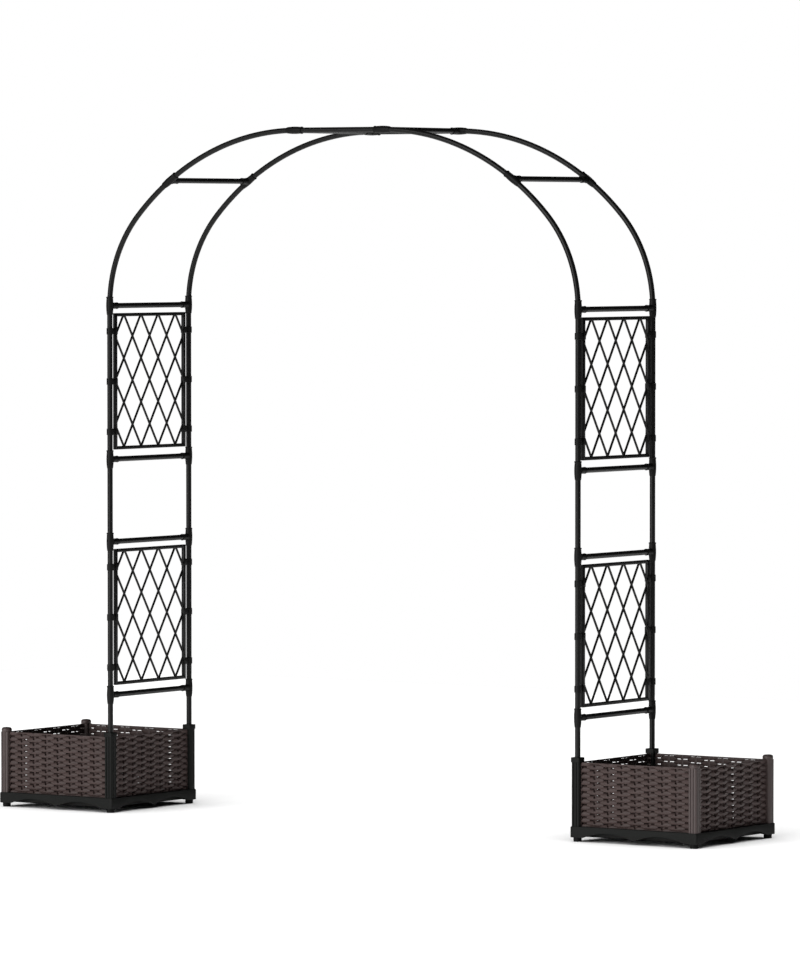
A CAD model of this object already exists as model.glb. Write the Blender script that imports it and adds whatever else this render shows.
# %% [markdown]
# # A garden arch that stands in two planters
# The real object is a kit. Painted steel tubes plug into tee connectors, wire lattice panels clip
# between the legs, and each pair of legs stands in the corner posts of a square planter whose
# walls look woven. The measured model of every part is already there, so this lesson only gives
# each part the shape of its visible surface and its finish.

# %% Load the measured model
import math

import bmesh
import bpy
from mathutils import Matrix, Vector


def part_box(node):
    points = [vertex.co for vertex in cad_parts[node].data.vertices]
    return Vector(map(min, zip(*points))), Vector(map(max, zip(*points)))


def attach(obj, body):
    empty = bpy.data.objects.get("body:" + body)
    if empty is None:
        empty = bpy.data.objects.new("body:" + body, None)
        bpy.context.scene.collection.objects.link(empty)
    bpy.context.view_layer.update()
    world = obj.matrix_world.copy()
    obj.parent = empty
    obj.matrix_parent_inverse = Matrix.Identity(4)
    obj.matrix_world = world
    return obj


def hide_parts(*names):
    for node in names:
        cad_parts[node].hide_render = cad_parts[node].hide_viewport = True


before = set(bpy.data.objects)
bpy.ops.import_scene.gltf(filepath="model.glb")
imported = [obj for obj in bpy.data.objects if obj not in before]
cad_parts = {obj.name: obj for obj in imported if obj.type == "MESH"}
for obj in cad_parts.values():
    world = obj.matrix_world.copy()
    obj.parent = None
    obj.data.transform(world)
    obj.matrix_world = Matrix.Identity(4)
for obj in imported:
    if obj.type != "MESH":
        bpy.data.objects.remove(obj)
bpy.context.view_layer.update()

# %% [markdown]
# # The viewpoint
# A long lens from twenty metres away keeps the far arch almost as large as the near one. The
# camera is at the eye height of a standing person and looks slightly down, so that both planters
# show two sides and a sliver of their insides.

# %% Camera
AIM = Vector((0.0821, 0.0, 0.990))
AZIMUTH = math.radians(34.374)
ELEVATION = math.radians(2.232)
DISTANCE = 19.714
FOCAL_LENGTH_MM = 246.2

toward_camera = Vector((
    math.sin(AZIMUTH) * math.cos(ELEVATION),
    -math.cos(AZIMUTH) * math.cos(ELEVATION),
    math.sin(ELEVATION),
))
lens = bpy.data.cameras.new("long_lens")
lens.lens = FOCAL_LENGTH_MM
lens.sensor_width = 36
lens.clip_end = 400
camera = bpy.data.objects.new("camera", lens)
camera.location = AIM + DISTANCE * toward_camera
camera.rotation_euler = (-toward_camera).to_track_quat("-Z", "Y").to_euler()
bpy.context.scene.collection.objects.link(camera)
bpy.context.scene.camera = camera
print("camera at", [round(c, 3) for c in camera.location])

# %% [markdown]
# # Shapes before they are objects
# Most parts here are swept or turned: a ring of points is repeated along a path, and faces join
# each ring to the next. A tiny class that holds points and faces is enough for that. Shapes can
# be added together and moved by a matrix, so a group of equal parts is a sum over its places.

# %% Points and faces
MM = 0.001


class Shape:
    """Points and faces of a part, in metres."""

    def __init__(self, points=(), faces=()):
        self.points = [Vector(p) for p in points]
        self.faces = [tuple(f) for f in faces]

    def __add__(self, other):
        start = len(self.points)
        moved = [tuple(i + start for i in f) for f in other.faces]
        return Shape(self.points + other.points, self.faces + moved)

    def moved(self, matrix):
        return Shape([matrix @ p for p in self.points], self.faces)

    def at(self, x, y, z):
        return self.moved(Matrix.Translation((x, y, z)))


def total(shapes):
    """All the shapes as one."""
    points, faces = [], []
    for shape in shapes:
        start = len(points)
        points.extend(shape.points)
        faces.extend(tuple(i + start for i in f) for f in shape.faces)
    return Shape(points, faces)


def skin(rings, loop=False):
    """The surface through rings of equally many points. A loop joins the last to the first."""
    n = len(rings[0])
    faces = []
    for i in range(len(rings) if loop else len(rings) - 1):
        a, b = i * n, (i + 1) % len(rings) * n
        faces.extend((a + j, a + (j + 1) % n, b + (j + 1) % n, b + j) for j in range(n))
    if not loop:
        faces.append(tuple(range(n)))
        faces.append(tuple(range((len(rings) - 1) * n, len(rings) * n)))
    return Shape([p for ring in rings for p in ring], faces)


def turned(profile, hollow=False, sides=40):
    """A shape turned round Z from (radius, height) pairs in millimetres."""
    rings = []
    for radius, height in profile:
        angles = [2 * math.pi * k / sides for k in range(sides)]
        rings.append([
            (radius * math.cos(a) * MM, radius * math.sin(a) * MM, height * MM) for a in angles
        ])
    return skin(rings, loop=hollow)


print("a turned disc has", len(turned([(5, 0), (5, 1)]).faces), "faces")

# %% [markdown]
# # Softened blocks and extruded outlines
# Nothing moulded or drawn from steel has a perfectly sharp edge, and the small round on each
# edge is what catches the light. Blocks get theirs from a bevel. An extruded outline gets a
# first and last ring that are drawn in a little.

# %% Blocks and extrusions
def block(low, high, edge):
    """A box between two corners in millimetres, with its edges rounded by that many millimetres."""
    mesh = bmesh.new()
    bmesh.ops.create_cube(mesh, size=1.0)
    size = Vector(high) - Vector(low)
    middle = (Vector(high) + Vector(low)) / 2
    for vertex in mesh.verts:
        vertex.co = Vector([c * s for c, s in zip(vertex.co, size)]) + middle
    bmesh.ops.bevel(mesh, geom=mesh.edges[:], offset=edge, segments=2, profile=0.5,
                    affect="EDGES", clamp_overlap=True)
    mesh.verts.ensure_lookup_table()
    shape = Shape([v.co * MM for v in mesh.verts], [[v.index for v in f.verts] for f in mesh.faces])
    mesh.free()
    return shape


def rounded_square(width, radius, steps=5):
    """The outline of a square with round corners, anticlockwise, as (x, y) in millimetres."""
    outline = []
    for quarter in range(4):
        turn = quarter * math.pi / 2
        corner = width / 2 - radius
        cx = corner * (math.cos(turn) - math.sin(turn))
        cy = corner * (math.sin(turn) + math.cos(turn))
        for k in range(steps + 1):
            angle = turn + math.pi / 2 * k / steps
            outline.append((cx + radius * math.cos(angle), cy + radius * math.sin(angle)))
    return outline


def extruded(outline, levels):
    """An outline carried up through (height, scale) levels, in millimetres."""
    return skin([[(x * s * MM, y * s * MM, z * MM) for x, y in outline] for z, s in levels])


print("a softened block has", len(block((0, 0, 0), (9, 9, 9), 1).faces), "faces")

# %% [markdown]
# # From a shape to a finished piece
# Each piece stands for one measured node and hides it. Its normals are made to point outwards,
# and faces that meet at less than the crease angle are shaded as one smooth surface.

# %% Finished pieces
CREASE = math.radians(38)


def finished(name, shape, finish, node):
    """Makes an object of the shape, gives it its finish, and lets it stand for the node."""
    mesh = bpy.data.meshes.new(name)
    build = bmesh.new()
    made = [build.verts.new(p) for p in shape.points]
    for face in shape.faces:
        if len(set(face)) > 2:
            build.faces.new([made[i] for i in face])
    bmesh.ops.remove_doubles(build, verts=build.verts[:], dist=2e-6)
    bmesh.ops.recalc_face_normals(build, faces=build.faces[:])
    build.to_mesh(mesh)
    build.free()
    mesh.shade_smooth()
    mesh.set_sharp_from_angle(angle=CREASE)
    mesh.materials.append(finish.material)
    piece = bpy.data.objects.new(name, mesh)
    bpy.context.scene.collection.objects.link(piece)
    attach(piece, "root")
    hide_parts(node)


print("crease angle, degrees:", round(math.degrees(CREASE)))

# %% [markdown]
# # Where things are
# Every position is read from the measured model. The object mirrors left to right and front to
# rear, so one quarter, on the right at the front, is enough, and a mirror matrix makes the rest.

# %% Places
SIDES = ("left", "right")
ENDS = ("front", "rear")
HALF_STOP_WEB = 1.5 * MM


def middle_of(node):
    low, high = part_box(node)
    return (low + high) / 2


def mirrored(side, end="front"):
    """The matrix that carries the front right quarter to another one."""
    return Matrix.Diagonal((1 if side == "right" else -1, 1 if end == "front" else -1, 1, 1))


leg = middle_of("lower_leg_tube_front_right")
outer_post = middle_of("corner_post_front_right")
post_low, post_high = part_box("leg_post_front_right")
column = ["socket_tube", "lower_leg_tube", "middle_leg_tube", "upper_leg_tube"]
joint_heights = [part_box(f"{tube}_front_right")[1].z + HALF_STOP_WEB for tube in column]
planter_x = (leg.x + outer_post.x) / 2
print("leg at", [round(c, 4) for c in leg.xy], "joints at", [round(z, 3) for z in joint_heights])

# %% [markdown]
# # Writing shaders as sums
# A finish is a small network of nodes. Wiring it by hand hides the idea, so a signal from any
# socket is wrapped in a class that knows arithmetic: adding two signals adds a Math node. All
# other nodes come from one method, which sets the node's own settings first and then its sockets.

# %% Signals and finishes
class Signal:
    """What comes out of a socket, with arithmetic."""

    def __init__(self, finish, socket):
        self.finish = finish
        self.socket = socket

    def _math(self, operation, first, second):
        return self.finish.node("ShaderNodeMath", {"operation": operation}, {0: first, 1: second})

    def __add__(self, other):
        return self._math("ADD", self, other)

    def __sub__(self, other):
        return self._math("SUBTRACT", self, other)

    def __mul__(self, other):
        return self._math("MULTIPLY", self, other)

    def __truediv__(self, other):
        return self._math("DIVIDE", self, other)

    __radd__ = __add__


class Finish:
    """A material under construction. The constants go on the shader's own sockets."""

    def __init__(self, name, slot, **constants):
        self.slot = slot
        self.material = bpy.data.materials.new(name)
        self.material.use_nodes = True
        self.nodes = self.material.node_tree.nodes
        self.shader = next(n for n in self.nodes if n.type == "BSDF_PRINCIPLED")
        for socket, value in constants.items():
            self.shader.inputs[socket.replace("_", " ")].default_value = value

    def node(self, kind, settings, sockets, out=0):
        made = self.nodes.new(kind)
        for key, value in settings.items():
            if key == "stops":
                for element, (position, colour) in zip(made.color_ramp.elements, value):
                    element.position = position
                    element.color = colour
            else:
                setattr(made, key, value)
        for key, value in sockets.items():
            self.feed(made.inputs[key], value)
        return Signal(self, made.outputs[out])

    def feed(self, socket, value):
        if isinstance(value, Signal):
            self.material.node_tree.links.new(value.socket, socket)
        else:
            socket.default_value = value

    def place(self):
        """The position on the object, in metres."""
        return self.node("ShaderNodeTexCoord", {}, {}, out=3)

    def scaled(self, vector, scale):
        return self.node("ShaderNodeVectorMath", {"operation": "MULTIPLY"}, {0: vector, 1: scale})

    def cloud(self, vector, scale, detail=2.0):
        return self.node("ShaderNodeTexNoise", {}, {"Vector": vector, "Scale": scale,
                                                    "Detail": detail})

    def blend(self, first, second, amount):
        return self.node("ShaderNodeMix", {"data_type": "RGBA"},
                         {0: amount, 6: first, 7: second}, out=2)

    def wear(self, colour=None, roughness=None, relief=None, depth=0.0001):
        """Connects what varies: the colour, the roughness and a height in metres times depth."""
        if colour is not None:
            self.feed(self.shader.inputs["Base Color"], colour)
        if roughness is not None:
            self.feed(self.shader.inputs["Roughness"], roughness)
        if relief is not None:
            bump = self.node("ShaderNodeBump", {}, {"Strength": 1.0, "Distance": depth,
                                                    "Height": relief})
            self.feed(self.shader.inputs["Normal"], bump)


def rgb(r, g, b):
    return (r, g, b, 1.0)


print("a finish can be fed:", "Base Color, Roughness, Normal")

# %% [markdown]
# # Powder-coated steel
# The tubes are sprayed with a dry powder that melts into a skin in an oven. It is almost black
# and half glossy, and it keeps the faint dimples called orange peel. Slow clouds shift the tone
# and the gloss, and a fine cloud dents the surface by a few hundredths of a millimetre.

# %% Steel finishes
def powder_coat(name, slot, dark, light, gloss):
    coat = Finish(name, slot, Specular_IOR_Level=0.2)
    place = coat.place()
    slow = coat.cloud(place, 11.0, 3.0)
    peel = coat.cloud(place, 620.0, 1.0)
    specks = coat.cloud(place, 2600.0, 0.0)
    coat.wear(
        colour=coat.blend(dark, light, slow * 0.7 + specks * 0.3),
        roughness=gloss + slow * 0.10 + peel * 0.06,
        relief=peel * 0.8 + specks * 0.2,
        depth=0.00006,
    )
    return coat


tube_steel = powder_coat("black_powder_coat", "steel_tube",
                         rgb(0.005, 0.005, 0.005), rgb(0.013, 0.013, 0.0125), 0.26)
lattice_steel = powder_coat("lattice_powder_coat", "lattice_steel",
                            rgb(0.004, 0.004, 0.004), rgb(0.011, 0.011, 0.0105), 0.32)
print("steel finishes:", tube_steel.material.name, lattice_steel.material.name)

# %% [markdown]
# # Black moulded plastic
# Connectors, bases and leg posts are moulded in black plastic with an even, fine spark texture
# that scatters light. Long faint flow lines run where the plastic filled the mould.

# %% Black plastic finishes
def moulded(name, slot, dark, light, gloss, shine=0.12, grain=(1.0, 1.0, 0.12)):
    plastic = Finish(name, slot, Specular_IOR_Level=shine)
    place = plastic.place()
    flow = plastic.cloud(plastic.scaled(place, grain), 130.0, 3.0)
    slow = plastic.cloud(place, 9.0, 2.0)
    spark = plastic.cloud(place, 1900.0, 1.0)
    plastic.wear(
        colour=plastic.blend(dark, light, flow * 0.45 + slow * 0.55),
        roughness=gloss + flow * 0.10 + spark * 0.08,
        relief=spark * 0.75 + flow * 0.25,
        depth=0.00008,
    )
    return plastic


connector_plastic = moulded("black_connector_plastic", "connector_plastic",
                            rgb(0.006, 0.006, 0.006), rgb(0.012, 0.012, 0.0115), 0.38)
black_plastic = moulded("black_planter_plastic", "black_plastic",
                        rgb(0.005, 0.0055, 0.005), rgb(0.011, 0.0115, 0.0105), 0.42)
foot_plastic = moulded("black_foot_plastic", "foot_plastic",
                       rgb(0.004, 0.004, 0.004), rgb(0.009, 0.009, 0.009), 0.55)
floor_plastic = moulded("black_floor_plastic", "floor_plastic",
                        rgb(0.010, 0.010, 0.010), rgb(0.020, 0.019, 0.018), 0.50,
                        grain=(0.12, 1.0, 1.0))
print("plastic finishes:", black_plastic.material.name, connector_plastic.material.name)

# %% [markdown]
# # Brown plastic
# The outer posts, the caps and the woven walls are the same warm brown plastic. On the posts the
# flow lines run up and down. On the walls each strand has fine fibres along its length and a
# tone of its own, which comes from rounding the height down to the strand that it lies in.

# %% Brown plastic finishes
STRAND_PITCH = 9 * MM
WEAVE_FOOT = 44 * MM
EVEN_STRAND = 18.5

brown_plastic = moulded("brown_post_plastic", "brown_plastic",
                        rgb(0.056, 0.040, 0.038), rgb(0.092, 0.069, 0.066), 0.32, shine=0.32)

woven_plastic = Finish("brown_woven_plastic", "woven_plastic", Specular_IOR_Level=0.22)
place = woven_plastic.place()
axes = [woven_plastic.node("ShaderNodeSeparateXYZ", {}, {0: place}, out=i) for i in range(3)]
along = axes[0] + axes[1]
strand_number = woven_plastic.node("ShaderNodeMath", {"operation": "FLOOR"},
                                   {0: (axes[2] - WEAVE_FOOT) / STRAND_PITCH})
fibre_place = woven_plastic.node("ShaderNodeCombineXYZ", {},
                                 {0: along * 60.0, 1: axes[2] * 1500.0, 2: strand_number * 3.7})
fibres = woven_plastic.cloud(fibre_place, 1.0, 3.0)
tone_place = woven_plastic.node("ShaderNodeCombineXYZ", {},
                                {0: along * 22.0, 1: strand_number * 5.3, 2: 0.0})
strand_tone = woven_plastic.cloud(tone_place, 1.0, 1.0)
woven_plastic.wear(
    colour=woven_plastic.blend(rgb(0.040, 0.0258, 0.0240), rgb(0.084, 0.0580, 0.0542),
                               fibres * 0.35 + strand_tone * 0.65),
    roughness=0.38 + fibres * 0.16,
    relief=fibres,
    depth=0.00022,
)
print("brown finishes:", brown_plastic.material.name, woven_plastic.material.name)

# %% [markdown]
# # Straight tubes and rungs
# A straight tube is already the right shape in the measured model, so it only needs its finish.
# The planter floors stay as they are measured too.

# %% Finish the measured tubes and floors
def refinish(node, finish):
    """Puts the finish in every material slot of a measured node."""
    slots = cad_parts[node].material_slots
    for slot in slots:
        slot.material = finish.material
    return len(slots)


straight = [f"{tube}_{end}_{side}" for tube in column for end in ENDS for side in SIDES]
straight += ["crown_tube_front", "crown_tube_rear", "leg_rungs", "arch_rungs"]
print("tubes:", sum(refinish(node, tube_steel) for node in straight))
print("floors:", sum(refinish(f"planter_floor_{side}", floor_plastic) for side in SIDES))

# %% [markdown]
# # Bent arch tubes
# Each half arch is two tubes. The lower one leaves the shoulder with a tight bend that eases
# into a wide one, and the upper one carries on the wide bend to the crown. They are swept here
# with a ring of points every degree and a half, so that the long curve has no corners.

# %% Sweep the arch tubes
TUBE_RADIUS = 8 * MM
TUBE_END_GAP = 1.6 * MM
LOWER_BEND = 0.397
SPLIT = math.radians(43)
FLANK = math.radians(54.5)
CROWN_HALF = 0.156

shoulder_z = joint_heights[3]
lower_centre = Vector((leg.x - LOWER_BEND, 0, shoulder_z))
upper_bend = (leg.x - LOWER_BEND * (1 - math.cos(SPLIT)) - CROWN_HALF) / math.cos(SPLIT)
crown_z = middle_of("crown_tube_front").z
upper_centre = Vector((CROWN_HALF, 0, crown_z - upper_bend))


def on_bend(centre, radius, angle):
    return centre + radius * Vector((math.cos(angle), 0, math.sin(angle)))


def swept_bend(stretches, sides=28):
    """A tube through (centre, radius, first angle, last angle) stretches, in the front plane."""
    rings = []
    for centre, radius, first, last in stretches:
        steps = max(2, round(math.degrees(abs(last - first)) / 1.5))
        for k in range(steps + 1):
            angle = first + (last - first) * k / steps
            outward = Vector((math.cos(angle), 0, math.sin(angle)))
            core = on_bend(centre, radius, angle)
            rings.append([
                core + TUBE_RADIUS * (math.cos(a) * outward + math.sin(a) * Vector((0, 1, 0)))
                for a in [2 * math.pi * j / sides for j in range(sides)]
            ])
    return skin(rings).at(0, leg.y, 0)


web = math.asin(TUBE_END_GAP / LOWER_BEND)
upper_web = math.asin(TUBE_END_GAP / upper_bend)
lower_tube = swept_bend([(lower_centre, LOWER_BEND, web, SPLIT),
                         (upper_centre, upper_bend, SPLIT, FLANK - upper_web)])
upper_tube = swept_bend([(upper_centre, upper_bend, FLANK + upper_web,
                          math.pi / 2 - upper_web)])
for side in SIDES:
    for end in ENDS:
        to_quarter = mirrored(side, end)
        finished(f"lower_bend_{end}_{side}", lower_tube.moved(to_quarter), tube_steel,
                 f"lower_arch_tube_{end}_{side}")
        finished(f"upper_bend_{end}_{side}", upper_tube.moved(to_quarter), tube_steel,
                 f"upper_arch_tube_{end}_{side}")
print("wide bend radius:", round(upper_bend, 4), "crown height:", round(crown_z, 4))

# %% [markdown]
# # Tee connectors
# A tee is a thick sleeve that swells in the middle, where the cross rung's socket leaves it. A
# raised lip rings its upper mouth, and its lower end thins out. Both sleeves are turned shapes,
# open at their mouths, and the socket flares where it meets the barrel, as a moulding does.

# %% Model one tee and place all twenty-four
BORE = 8.15


def tee():
    """A tee with its barrel along Z and its socket along +Y."""
    barrel = [
        (BORE, 27), (10.3, 27), (10.8, 26.5), (10.9, 25.8), (10.9, 24.2), (10.7, 23.5),
        (9.9, 23.0), (9.95, 21), (10.4, 14), (10.8, 7), (10.9, 0), (10.8, -7), (10.4, -14),
        (9.8, -21), (9.3, -25.5), (8.9, -27), (BORE, -27),
    ]
    socket = [
        (BORE, 36), (9.6, 36), (10.0, 35.5), (10.1, 34.6), (10.1, 33.4), (9.9, 32.8),
        (9.5, 32.4), (9.5, 20), (9.6, 15), (9.9, 12), (10.5, 10), (10.8, 9), (BORE, 6),
    ]
    along_y = Matrix.Rotation(-math.pi / 2, 4, "X")
    return turned(barrel, hollow=True) + turned(socket, hollow=True).moved(along_y)


one_tee = tee()
leg_column = total([one_tee.at(leg.x, leg.y, z) for z in joint_heights])
flank = on_bend(upper_centre, upper_bend, FLANK)
lean = Matrix.Rotation(-FLANK, 4, "Y")
lie = Matrix.Rotation(-math.pi / 2, 4, "Y")
arch_quarter = (one_tee.moved(lean).at(flank.x, leg.y, flank.z)
                + one_tee.moved(lie).at(CROWN_HALF, leg.y, crown_z))
for side in SIDES:
    both_legs = total([leg_column.moved(mirrored(side, end)) for end in ENDS])
    finished(f"leg_connectors_{side}", both_legs, connector_plastic, f"leg_tees_{side}")
all_quarters = total([arch_quarter.moved(mirrored(s, e)) for s in SIDES for e in ENDS])
finished("arch_connectors", all_quarters, connector_plastic, "arch_tees")
print("faces in one tee:", len(one_tee.faces))

# %% [markdown]
# # Lattice panels
# A panel is a frame of square steel bar with two layers of crossing rods welded into it. The
# bars have slightly rounded edges, and a small ring of weld sits where each rod meets the frame.

# %% Model one panel and place four
MEASURED_BAR = 9.0
BAR = 10.0
ROD_RADIUS = 3.4
panel_low, panel_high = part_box("lattice_panel_upper_right")
panel_y = (panel_high.y - panel_low.y) / MM - MEASURED_BAR
panel_z = (panel_high.z - panel_low.z) / MM - MEASURED_BAR
COLUMNS = 4
ROWS = 3


def rod(start, finish, depth):
    """A rod between two points (y, z) of the panel, in millimetres, with a weld at each end."""
    start, finish = Vector((0, *start)), Vector((0, *finish))
    run = finish - start
    weld = [(ROD_RADIUS + 1.6, 0), (ROD_RADIUS + 1.5, 4.6), (ROD_RADIUS + 0.7, 5.6),
            (ROD_RADIUS, 6.4)]
    profile = weld + [(r, run.length - h) for r, h in reversed(weld)]
    turn = Vector((0, 0, 1)).rotation_difference(run).to_matrix().to_4x4()
    return turned(profile, sides=14).moved(turn).at(depth * MM, start.y * MM, start.z * MM)


def lattice():
    """A panel in the YZ plane about its centre."""
    half_y, half_z, half_bar = panel_y / 2, panel_z / 2, BAR / 2
    parts = []
    for sign in (-1, 1):
        parts.append(block((-half_bar, sign * half_y - half_bar, -half_z - half_bar),
                           (half_bar, sign * half_y + half_bar, half_z + half_bar), 1.0))
        parts.append(block((-half_bar, -half_y, sign * half_z - half_bar),
                           (half_bar, half_y, sign * half_z + half_bar), 1.0))
    step_y, step_z = panel_y / COLUMNS, panel_z / ROWS
    for layer in (-1, 1):
        for number in range(COLUMNS + ROWS):
            offset = number + 0.5 - ROWS
            first, last = max(0, -offset), min(ROWS, COLUMNS - offset)
            ends = [((offset + t) * step_y - half_y, half_z - t * step_z) for t in (first, last)]
            ends = [(layer * y, z) for y, z in ends]
            parts.append(rod(*ends, layer * 1.17))
    return total(parts)


one_panel = lattice()
for side in SIDES:
    for level in ("lower", "upper"):
        node = f"lattice_panel_{level}_{side}"
        spot = middle_of(node)
        finished(f"lattice_{level}_{side}", one_panel.at(*spot), lattice_steel, node)
print("panel frame, mm:", round(panel_y), "by", round(panel_z))

# %% [markdown]
# # Lattice clips
# Three clips on each side hold a panel. A clip is a sleeve that snaps over the leg, a web, and a
# jaw with two cheeks that grip the frame bar.

# %% Model one clip and place twenty-four
CLIP_HALF = 9.5
CHEEK = (5.1, 6.7)
JAW_HALF = 6.4
JAW_DEPTH = 1.8
CLIP_STEPS = (-151, 0, 151)
bar_near = abs(leg.y) / MM - panel_y / 2 - BAR / 2


def clip():
    """A clip round a leg on the Z axis, with its jaw toward +Y."""
    shoulder = CLIP_HALF - 0.5
    sleeve = [(BORE, CLIP_HALF), (9.5, CLIP_HALF), (9.95, shoulder),
              (9.95, -shoulder), (9.5, -CLIP_HALF), (BORE, -CLIP_HALF)]
    parts = [turned(sleeve, hollow=True)]
    parts.append(block((-4, 8.6, -CLIP_HALF), (4, bar_near - 0.5, CLIP_HALF), 0.7))
    parts.append(block((-JAW_HALF, bar_near - JAW_DEPTH, -CLIP_HALF),
                       (JAW_HALF, bar_near, CLIP_HALF), 0.6))
    for sign in (-1, 1):
        low, high = sorted(sign * edge for edge in CHEEK)
        parts.append(block((low, bar_near - JAW_DEPTH, -CLIP_HALF),
                           (high, bar_near + BAR, CLIP_HALF), 0.6))
    return total(parts)


one_clip = clip()
clips = []
for level in ("lower", "upper"):
    panel_centre = middle_of(f"lattice_panel_{level}_right").z
    clips += [one_clip.at(leg.x, leg.y, panel_centre + step * MM) for step in CLIP_STEPS]
all_clips = total([c.moved(mirrored(s, e)) for c in clips for s in SIDES for e in ENDS])
finished("lattice_clips_all", all_clips, connector_plastic, "lattice_clips")
print("clips:", 4 * len(clips))

# %% [markdown]
# # Planter posts
# The four posts of a planter are square mouldings with round corners. Two narrow grooves run
# down each outward face and leave a bead between them, and a slot in each inward face takes the
# edge of a woven wall. The outline is drawn once, with the slots toward +X and +Y, and extruded.

# %% Extrude the posts
POST_WIDTH = 28.0
POST_CORNER = 6.0
GROOVE_AT = 4.5
GROOVE_HALF = 1.3
GROOVE_DEPTH = 3.0
SLOT_HALF = 4.2
SLOT_DEPTH = 4.5


def post_outline():
    """The post's section, anticlockwise from the middle of its +X face, in millimetres."""
    half = POST_WIDTH / 2
    slot = [(half, -SLOT_HALF), (half - SLOT_DEPTH, -SLOT_HALF),
            (half - SLOT_DEPTH, SLOT_HALF), (half, SLOT_HALF)]
    grooved = []
    for middle in (-GROOVE_AT, GROOVE_AT):
        grooved += [(half, middle - GROOVE_HALF), (half - GROOVE_DEPTH * 0.75, middle - 0.4),
                    (half - GROOVE_DEPTH, middle), (half - GROOVE_DEPTH * 0.75, middle + 0.4),
                    (half, middle + GROOVE_HALF)]
    corner = [(half - POST_CORNER + POST_CORNER * math.cos(a),
               half - POST_CORNER + POST_CORNER * math.sin(a))
              for a in [math.pi / 2 * k / 6 for k in range(7)]]
    outline = []
    for quarter, face in enumerate([slot, slot, grooved, grooved]):
        turn = Matrix.Rotation(quarter * math.pi / 2, 2)
        outline += [turn @ Vector(p) for p in face + corner]
    return outline


post = extruded(post_outline(), [(post_low.z / MM, 1.0), (post_high.z / MM, 1.0)])
flipped = Matrix.Diagonal((-1, 1, 1, 1))
for side in SIDES:
    for end in ENDS:
        to_quarter = mirrored(side, end)
        finished(f"fluted_leg_post_{end}_{side}", post.at(leg.x, leg.y, 0).moved(to_quarter),
                 black_plastic, f"leg_post_{end}_{side}")
        outer = post.moved(flipped).at(outer_post.x, outer_post.y, 0).moved(to_quarter)
        finished(f"fluted_corner_post_{end}_{side}", outer, brown_plastic,
                 f"corner_post_{end}_{side}")
print("post height, mm:", round((post_high.z - post_low.z) / MM))

# %% [markdown]
# # Collars and caps
# A square collar closes the top of each leg post round the tube. The outer posts end in round
# domed caps that stand out a little past the post.

# %% Collars and caps
top = post_high.z / MM
collar_outline = rounded_square(30, 3.5)


def ring_at(height, shrink):
    """The collar's outline drawn in by some millimetres."""
    scale = (15 - shrink) / 15
    return [(x * scale * MM, y * scale * MM, height * MM) for x, y in collar_outline]


mouth = [Vector((x, y, 0)).normalized() * BORE * MM for x, y in collar_outline]
collar = skin([
    [p + Vector((0, 0, top * MM)) for p in mouth],
    ring_at(top, 0.4), ring_at(top + 0.4, 0), ring_at(top + 13.0, 0), ring_at(top + 13.7, 0.3),
    ring_at(top + 14, 1.0),
    [p * 1.06 + Vector((0, 0, (top + 14) * MM)) for p in mouth],
    [p + Vector((0, 0, (top + 13.4) * MM)) for p in mouth],
], loop=True)
collars = total([collar.at(leg.x, leg.y, 0).moved(mirrored(s, e)) for s in SIDES for e in ENDS])
finished("square_collars", collars, black_plastic, "post_collars")

cap_profile = [(7, top - 14), (7, top), (14.2, top), (15.0, top + 0.5), (15.3, top + 1.4),
               (15.5, top + 4.0), (15.5, top + 6.6), (15.2, top + 8.6), (14.4, top + 10.4),
               (12.9, top + 12.0), (10.6, top + 13.0), (7.0, top + 13.6), (0.6, top + 14)]
cap = turned(cap_profile, sides=48)
caps = total([cap.at(outer_post.x, outer_post.y, 0).moved(mirrored(s, e))
              for s in SIDES for e in ENDS])
finished("domed_caps", caps, brown_plastic, "post_caps")
print("cap top, mm:", round(top + 14))

# %% [markdown]
# # Planter base
# The base is one moulding: a ledge that carries the walls and floor, and a skirt whose lower edge
# is cut into two shallow arches on every side. Its section is a closed loop of points that is
# carried round the outline, while the height of the lower edge follows the arches. Behind the
# arches hangs a shallow drip tray, whose dark wall is all that shows through them.

# %% Base, feet and where they go
base_low, base_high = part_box("planter_base_right")
HALF_X = (base_high.x - base_low.x) / 2 / MM
HALF_Y = (base_high.y - base_low.y) / 2 / MM
BASE_FOOT = base_low.z / MM
LEDGE_TOP = post_low.z / MM
SKIRT = 3.5
LEDGE = 4.0
OPEN_X = (outer_post.x - leg.x) / 2 / MM - POST_WIDTH / 2
OPEN_Y = abs(leg.y) / MM - POST_WIDTH / 2
POST_INSET = 15.5
SIDE_STEPS = 96
ARCH_RISE = 16.0
PENDANT = 9.0
ARCH_START = 26.0
CORNER = 6.0
TRAY_INSET = 26.0
TRAY_FOOT = 13.5
TRAY_WALL = 2.5
CORNER_BLOCK_HALF = 15.2


def skirt_edge(along, span):
    """The height of the skirt's lower edge at a distance from the middle of a side."""
    width = (span - 2 * ARCH_START - PENDANT) / 2
    radius = (width ** 2 / 4 + ARCH_RISE ** 2) / (2 * ARCH_RISE)
    off = abs(along) - (width + PENDANT) / 2
    if abs(off) >= width / 2:
        return BASE_FOOT
    return BASE_FOOT + ARCH_RISE - radius + math.sqrt(radius ** 2 - off ** 2)


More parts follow.
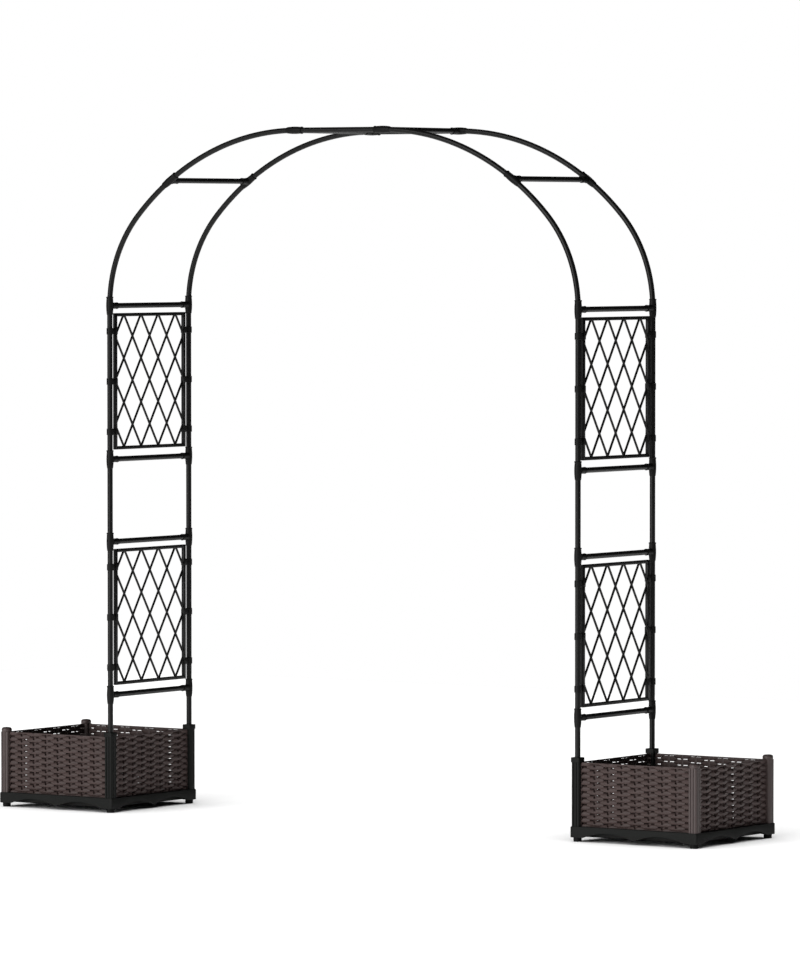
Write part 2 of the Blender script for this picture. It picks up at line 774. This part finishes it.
def base_path():
    """(point, outward normal, lower edge) round the base, anticlockwise from +X."""
    path = []
    for quarter in range(4):
        along_half, out_half = (HALF_Y, HALF_X) if quarter % 2 == 0 else (HALF_X, HALF_Y)
        span = 2 * (along_half - POST_INSET)
        turn = Matrix.Rotation(quarter * math.pi / 2, 2)
        outward = turn @ Vector((1, 0))
        straight_half = along_half - CORNER
        for k in range(SIDE_STEPS + 1):
            t = -straight_half + 2 * straight_half * k / SIDE_STEPS
            path.append((turn @ Vector((out_half, t)), outward, skirt_edge(t, span)))
        pivot = turn @ Vector((out_half - CORNER, straight_half))
        for k in range(1, 6):
            normal = turn @ Vector((math.cos(math.pi / 12 * k), math.sin(math.pi / 12 * k)))
            path.append((pivot + CORNER * normal, normal, BASE_FOOT))
    return path


def base_ring(point, normal, edge):
    """The base's section at one place of its outline, in metres."""
    inner = Vector((max(-OPEN_X, min(OPEN_X, point.x)), max(-OPEN_Y, min(OPEN_Y, point.y))))
    section = [(SKIRT, edge), (0.6, edge), (0, edge + 0.6), (0, LEDGE_TOP - 0.9),
               (0.3, LEDGE_TOP - 0.25), (0.9, LEDGE_TOP)]
    ring = [(*(point - normal * inset) * MM, height * MM) for inset, height in section]
    ring += [(*inner * MM, LEDGE_TOP * MM), (*inner * MM, (LEDGE_TOP - LEDGE) * MM)]
    ring.append((*(point - normal * SKIRT) * MM, (LEDGE_TOP - LEDGE) * MM))
    return ring


def base():
    """The base about the planter's centre, with its corner blocks, spigots and drip tray."""
    shape = skin([base_ring(*step) for step in base_path()], loop=True)
    reach_x, reach_y = HALF_X - POST_INSET, HALF_Y - POST_INSET
    for x in (-reach_x, reach_x):
        for y in (-reach_y, reach_y):
            shape += block((x - CORNER_BLOCK_HALF, y - CORNER_BLOCK_HALF, BASE_FOOT + 0.05),
                           (x + CORNER_BLOCK_HALF, y + CORNER_BLOCK_HALF, LEDGE_TOP - 1), 1.2)
            radius = 8.0 if x < 0 else 7.0
            spigot = [(radius, LEDGE_TOP - 1), (radius, LEDGE_TOP + 14)]
            shape += turned(spigot, sides=32).at(x * MM, y * MM, 0)
    in_x, in_y = HALF_X - TRAY_INSET, HALF_Y - TRAY_INSET
    shape += block((-in_x, -in_y, TRAY_FOOT), (in_x, in_y, TRAY_FOOT + TRAY_WALL), 0.8)
    for sign in (-1, 1):
        low, high = sorted((sign * in_x, sign * (in_x - TRAY_WALL)))
        shape += block((low, -in_y, TRAY_FOOT), (high, in_y, LEDGE_TOP - LEDGE + 1), 0.8)
        low, high = sorted((sign * in_y, sign * (in_y - TRAY_WALL)))
        shape += block((-in_x, low, TRAY_FOOT), (in_x, high, LEDGE_TOP - LEDGE + 1), 0.8)
    return shape


foot_profile = [(11.0, 0), (12.0, 1.0), (12.0, 11.4), (11.6, 12), (4, 12), (4, 20)]
one_foot = turned(foot_profile, sides=36)
one_base = base()
for side in SIDES:
    finished(f"scalloped_base_{side}", one_base.at(planter_x, 0, 0).moved(mirrored(side)),
             black_plastic, f"planter_base_{side}")
    feet = total([one_foot.at(x, leg.y, 0).moved(mirrored(side, end))
                  for x in (leg.x, outer_post.x) for end in ENDS])
    finished(f"round_feet_{side}", feet, foot_plastic, f"planter_feet_{side}")
print("base, mm:", round(2 * HALF_X), "by", round(2 * HALF_Y))

# %% [markdown]
# # Woven walls
# A wall is moulded to look like strands woven round seven upright stakes and its two ends. Each
# strand shows where it passes in front of a stake, swells there, and sinks away on both sides.
# Where it would pass behind the next stake the mould leaves a pair of slots, one on each side of
# the stake. So the wall is made of many short strands, each a sweep of an oval section that
# changes along it, with a notch over the stake that shows as a dark spot.

# %% Model the strands
INTERVALS = 8
CREST = 3.9
SINK = 0.4
BACK = -3.1
REACH = 28.0
WINDOW_REACH = 16.0
STRAND_HEIGHT = 16.5
END_SHRINK = 8.5
ROUNDNESS = 4.5
NOTCH_DEPTH = 8.0
NOTCH_HALF = 4.2
STAKE_HALF = 4.4
STAKE_DEPTHS = (2.9, 3.95)
RIM_HALF = 1.9
IN_SLOT = 4.3
OFFSETS = [1.5, 2.5, 3.5, 4.5, 5.5, 7, 10, 13, 15, 17, 20, 23, 26, 28]
STATIONS = [-x for x in reversed(OFFSETS)] + [0] + OFFSETS
ACROSS = [-1, -0.93, -0.78, -0.5, -0.18, 0.18, 0.5, 0.78, 0.93, 1]


def strand(middle, level, limit, height):
    """One strand in front of the stake at middle, cut off where the wall ends, in millimetres."""
    rings = []
    for station in STATIONS:
        x = max(-limit, min(limit, middle + station))
        away = abs(x - middle)
        past_window = max(0.0, away - WINDOW_REACH) / (REACH - WINDOW_REACH)
        half = (STRAND_HEIGHT - END_SHRINK * past_window) / 2
        notch = NOTCH_DEPTH * math.exp(-(away / NOTCH_HALF) ** 8)
        crest = SINK + (CREST - SINK) * (0.5 + 0.5 * math.cos(math.pi * away / REACH))
        ring = []
        for v in ACROSS:
            depth = BACK + (crest - BACK) * (1 - abs(v) ** ROUNDNESS)
            z = level + half * v - (notch if v > 0 else 0) * v
            ring.append((x * MM, -depth * MM, max(0.2, min(height - 0.2, z)) * MM))
        ring.append((x * MM, -BACK * MM + 0.0002, ring[-1][2] - 0.0004))
        ring.append((x * MM, -BACK * MM + 0.0002, ring[0][2] + 0.0004))
        rings.append(ring)
    return skin(rings)


def woven(length, height):
    """A wall along X whose outside faces -Y, standing on Z = 0, in millimetres."""
    pitch = (length - 2 * IN_SLOT) / INTERVALS
    limit = length / 2 - 0.4
    parts = []
    for number in range(-INTERVALS // 2, INTERVALS // 2 + 1):
        middle = number * pitch
        start = EVEN_STRAND if number % 2 == 0 else EVEN_STRAND + STRAND_PITCH / MM
        levels = [start + 2 * STRAND_PITCH / MM * k for k in range(-1, 11)]
        parts += [strand(middle, level, limit, height) for level in levels
                  if -6 < level < height - 2]
    for number in range(1 - INTERVALS // 2, INTERVALS // 2):
        middle = number * pitch
        parts.append(block((middle - STAKE_HALF, STAKE_DEPTHS[0], 0.4),
                           (middle + STAKE_HALF, STAKE_DEPTHS[1], height - 0.4), 0.4))
    parts.append(block((-length / 2, -RIM_HALF, height - 4.0), (length / 2, RIM_HALF, height),
                       0.8))
    parts.append(block((-length / 2, -RIM_HALF, 0), (length / 2, RIM_HALF, 2.0), 0.6))
    for sign in (-1, 1):
        low, high = sorted((sign * length / 2, sign * (length / 2 - 5.5)))
        parts.append(block((low, -3.8, 0), (high, 3.8, height), 0.6))
    return total(parts)


print("reach of one strand, mm:", 2 * REACH)

# %% [markdown]
# # Hang the walls
# The two lengths of wall are each made once. A front wall faces the viewer, and the others are
# turned so that the swelling side of the strands always faces out of the planter.

# %% Place the eight walls
wall_height = (post_high.z - post_low.z) / MM
low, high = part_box("woven_panel_front_right")
long_wall = woven((high.x - low.x) / MM, wall_height)
low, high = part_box("woven_panel_outer_right")
deep_wall = woven((high.y - low.y) / MM, wall_height)
for side in SIDES:
    for end in ENDS:
        wall = long_wall.at(planter_x, leg.y, post_low.z).moved(mirrored(side, end))
        finished(f"woven_wall_{end}_{side}", wall, woven_plastic, f"woven_panel_{end}_{side}")
    for name, x, turn in (("outer", outer_post.x, math.pi / 2), ("inner", leg.x, -math.pi / 2)):
        turned_wall = deep_wall.moved(Matrix.Rotation(turn, 4, "Z")).at(x, 0, post_low.z)
        finished(f"woven_wall_{name}_{side}", turned_wall.moved(mirrored(side)), woven_plastic,
                 f"woven_panel_{name}_{side}")
print("faces in one wall:", len(long_wall.faces))

# %% [markdown]
# # Studio
# The object stands on a plain sheet of white paper, ten metres wide. A wide sun from the front
# left gives the walls their form and a soft shadow to the right, and an overhead one lifts the
# paper to white. The backdrop is white too, but it hardly lights the object, which is what keeps
# black parts black. Light that the paper throws back shows on the undersides of the tubes.

# %% Floor
SPREAD = 5.0
floor_mesh = bpy.data.meshes.new("floor")
floor_mesh.from_pydata([(-SPREAD, -SPREAD, 0), (SPREAD, -SPREAD, 0), (SPREAD, SPREAD, 0),
                        (-SPREAD, SPREAD, 0)], [], [(0, 1, 2, 3)])
paper = Finish("pale_floor", None, Specular_IOR_Level=0.0)
fleck = paper.cloud(paper.place(), 40.0, 2.0)
paper.wear(colour=paper.blend(rgb(0.84, 0.84, 0.84), rgb(0.86, 0.86, 0.86), fleck),
           roughness=0.9 + fleck * 0.05)
floor_mesh.materials.append(paper.material)
floor = bpy.data.objects.new("floor", floor_mesh)
bpy.context.scene.collection.objects.link(floor)

# %% [markdown]
# # Lights
# Distant lights with a wide disc give soft shadows. Light linking keeps the floor wash off the
# object, so its upper faces stay dark while the floor under it still catches its shadow.

# %% Light
LIT_BY_BACKDROP = 0.03
SEEN_BACKDROP = 1.0


def sun(name, azimuth, elevation, strength, spread, gloss):
    """A distant light from a compass angle, 0 at the front, and a height angle, in degrees."""
    light = bpy.data.lights.new(name, "SUN")
    light.energy = strength
    light.angle = math.radians(spread)
    light.specular_factor = gloss
    lamp = bpy.data.objects.new(name, light)
    a, e = math.radians(azimuth), math.radians(elevation)
    source = Vector((math.sin(a) * math.cos(e), -math.cos(a) * math.cos(e), math.sin(e)))
    lamp.rotation_euler = source.to_track_quat("Z", "Y").to_euler()
    bpy.context.scene.collection.objects.link(lamp)
    return lamp


sun("key", azimuth=-12, elevation=14, strength=2.15, spread=44, gloss=0.15)
wash = sun("floor_wash", azimuth=20, elevation=80, strength=3.8, spread=100, gloss=0.0)
lit_by_wash = bpy.data.collections.new("lit_by_wash")
lit_by_wash.objects.link(floor)
wash.light_linking.receiver_collection = lit_by_wash

sky = bpy.data.worlds.new("studio")
sky.use_nodes = True
bpy.context.scene.world = sky
background = next(n for n in sky.node_tree.nodes if n.type == "BACKGROUND")
seen = sky.node_tree.nodes.new("ShaderNodeLightPath")
level = sky.node_tree.nodes.new("ShaderNodeMapRange")
level.inputs["To Min"].default_value = LIT_BY_BACKDROP
level.inputs["To Max"].default_value = SEEN_BACKDROP
sky.node_tree.links.new(seen.outputs["Is Camera Ray"], level.inputs["Value"])
sky.node_tree.links.new(level.outputs["Result"], background.inputs["Strength"])
background.inputs["Color"].default_value = rgb(1, 1, 1)
bpy.context.scene.view_settings.view_transform = "Standard"
